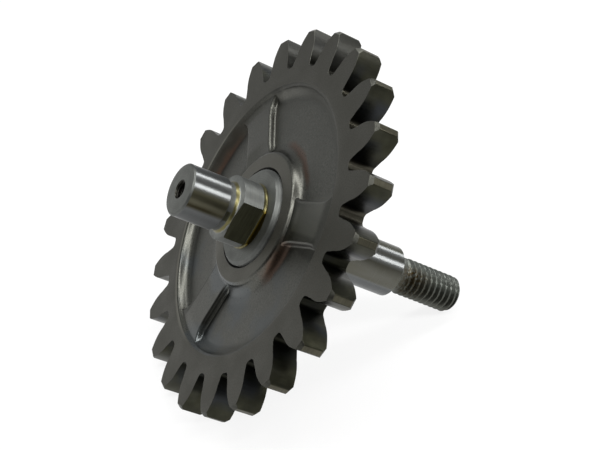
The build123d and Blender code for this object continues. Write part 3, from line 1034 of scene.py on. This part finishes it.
class PUMPSHAFT_OT_shaft(bpy.types.Operator):
    """Build the turned shaft with its journals, flats, collar and threads"""
    bl_idname = "pump_shaft.shaft"
    bl_label = "Shaft"

    def execute(self, context):
        gear, shaft = context.scene.pump_gear, context.scene.pump_shaft
        bm = bmesh.new()
        shaft_profile(bm, shaft, gear)
        spin_full(bm, SHAFT_STEPS, bm.verts[:] + bm.edges[:])
        bmesh.ops.remove_doubles(bm, verts=bm.verts[:], dist=MERGE)
        cut_threads(bm, shaft)
        mill_flats(bm, shaft)
        bmesh.ops.rotate(bm, verts=bm.verts[:], cent=(0, 0, 0),
                         matrix=Matrix.Rotation(shaft.flat_angle, 3, "Z"))
        out = Vector((cos(shaft.flat_angle), sin(shaft.flat_angle), 0))

        def pick(face):
            """Finish of a face, from where it lies and how it is turned."""
            centre = face.calc_center_median()
            radius, station, level = centre.xy.length, centre.z, abs(face.normal.z)
            facing, away = abs(face.normal.dot(out)), abs(centre.dot(out))
            in_hole = station < 0 and radius < shaft.tap_radius + shaft.tap_thread
            if in_hole or station > shaft.rear_journal_end + 0.01 * MM:
                return THREAD
            if station > gear.face_width + shaft.collar_proud + 0.01 * MM and level < 0.5:
                return JOURNAL
            if station < shaft.front_journal_end - NEAR and level < 0.3:
                return JOURNAL
            if station > -shaft.collar_proud - NEAR or station < shaft.front_journal_end:
                return TURNED if level > 0.9 else BARREL
            if facing > 0.98 and away < shaft.across_flats / 2 + 0.02 * MM:
                return FLAT
            if shaft.barrel_front <= station <= -shaft.collar_proud - shaft.base_undercut_width:
                return BARREL
            return STRAW

        finish_piece(bm, "pump_shaft", SHAFT_FINISHES, pick, "shaft")
        return {"FINISHED"}


# Stage

def pale_paper(stage):
    """Matt white paper. Seen by the camera or mirrored in the steel it is nearly plain white, so
    the object stands before a light sheet with a soft shadow."""
    material = bpy.data.materials.new("pale_paper")
    node = start_nodes(material)
    matt = node("BsdfDiffuse", {"Color": stage.floor_colour[:]})
    white = node("Emission", {"Color": (1, 1, 1, 1), "Strength": 1.0})
    rays = node("LightPath").node.outputs
    seen = node("Math", rays["Is Camera Ray"], rays["Is Glossy Ray"], operation="ADD")
    seen = node("Math", seen, rays["Is Transmission Ray"], operation="ADD", use_clamp=True)
    sheet = node("MixShader", meet(node, seen, 0.85), matt, white)
    node("OutputMaterial", {"Surface": sheet})
    return material


def studio_room():
    """A grey room, lighter behind the object than on the camera's side, with one dark patch low on
    the side of the shaft's front end."""
    world = bpy.data.worlds.new("studio_room")
    node = start_nodes(world)
    way = node("TexCoord", out="Generated")
    behind = node("SeparateXYZ", way, out=1)
    patch = node("VectorMath", way, (-0.921, -0.358, 0.154), operation="DOT_PRODUCT", out=1)
    room = painted(node, linear(0x74746E), linear(0xAEB0B0), node("MapRange", behind, -0.7, 0.7))
    room = painted(node, room, linear(0x2C2C28), node("MapRange", patch, 0.84, 0.92))
    sky = node("Background", {"Color": room, "Strength": 1.0})
    node("OutputWorld", {"Surface": sky})
    return world


def add_lamp(name, direction, ahead, distance, width, radiance):
    """A soft strip lamp parallel to the shaft: its direction from the shaft in degrees, counted
    from straight down, the stretch ahead of the gear over which it runs, how far off and how wide
    it is, in metres, and how bright its face is."""
    place = shaft_place()
    turn = radians(direction)
    outward = place.to_3x3() @ Vector((cos(turn), sin(turn), 0))
    along = place.to_3x3() @ Vector((0, 0, 1))
    reach = ahead[1] - ahead[0]
    data = bpy.data.lights.new(name, "AREA")
    data.shape = "RECTANGLE"
    data.size, data.size_y = width, reach
    data.energy = radiance * pi * width * reach
    middle = place.translation + outward * distance - along * (ahead[0] + reach / 2)
    add_object(name, data).matrix_world = placed(middle, along.cross(outward), along, outward)


def add_camera(stage):
    """The camera of the photograph's view."""
    data = bpy.data.cameras.new("camera")
    data.sensor_width = 36
    data.lens = stage.camera_lens
    data.clip_start, data.clip_end = 0.01, 20
    forward, right = Vector(stage.camera_forward), Vector(stage.camera_right)
    forward.normalize()
    right = (right - forward * right.dot(forward)).normalized()
    camera = add_object("camera", data)
    camera.matrix_world = placed(Vector(stage.camera_location), right, right.cross(forward), -forward)
    return camera


class PUMPSHAFT_OT_stage(bpy.types.Operator):
    """Build the pale floor, the soft lamps and the camera"""
    bl_idname = "pump_shaft.stage"
    bl_label = "Stage"

    def execute(self, context):
        scene = context.scene
        stage = scene.pump_stage
        bm = bmesh.new()
        bmesh.ops.create_grid(bm, x_segments=1, y_segments=1, size=stage.floor_size / 2)
        mesh = make_mesh(bm, "floor")
        mesh.materials.append(pale_paper(stage))
        ground = add_object("floor", mesh)

        # two long overhead strips, behind and before the shaft, give the paired streaks along it;
        # a broad one across them, further ahead, lights the walls of the web
        add_lamp("overhead_strip_far", 157.5, (-0.2, 0.95), 0.5, 0.115, 7.6)
        add_lamp("overhead_strip_near", -154, (-0.2, 0.95), 0.5, 0.13, 8.4)
        add_lamp("overhead_cross", 180, (0.62, 1.0), 0.4, 1.3, 3.5)

        scene.world = studio_room()
        scene.camera = add_camera(stage)
        scene.view_settings.view_transform = "Standard"
        return {"FINISHED"}


# Sidebar, registration and the build

class PUMPSHAFT_PT_sidebar(bpy.types.Panel):
    """Sizes, finishes and the steps that build the object"""
    bl_idname = "PUMPSHAFT_PT_sidebar"
    bl_label = "Water Pump Shaft"
    bl_space_type = "VIEW_3D"
    bl_region_type = "UI"
    bl_category = "Pump Shaft"

    def draw(self, context):
        layout = self.layout
        for operator, group in ((PUMPSHAFT_OT_gear, "pump_gear"), (PUMPSHAFT_OT_shaft, "pump_shaft"),
                                (PUMPSHAFT_OT_stage, "pump_stage"), (None, "pump_finishes")):
            box = layout.box()
            if operator:
                box.operator(operator.bl_idname)
            settings = getattr(context.scene, group)
            for name in settings.__annotations__:
                box.prop(settings, name)


GROUPS = {"pump_gear": GearSizes, "pump_shaft": ShaftSizes, "pump_finishes": Finishes,
          "pump_stage": StageSizes}
CLASSES = (*GROUPS.values(), PUMPSHAFT_OT_gear, PUMPSHAFT_OT_shaft, PUMPSHAFT_OT_stage,
           PUMPSHAFT_PT_sidebar)


def register():
    for item in CLASSES:
        bpy.utils.register_class(item)
    for name, group in GROUPS.items():
        setattr(bpy.types.Scene, name, PointerProperty(type=group))


def unregister():
    for name in GROUPS:
        delattr(bpy.types.Scene, name)
    for item in reversed(CLASSES):
        bpy.utils.unregister_class(item)


def main():
    register()
    bpy.ops.pump_shaft.gear()
    bpy.ops.pump_shaft.shaft()
    bpy.ops.pump_shaft.stage()
    bpy.context.view_layer.update()


if __name__ == "__main__":
    main()
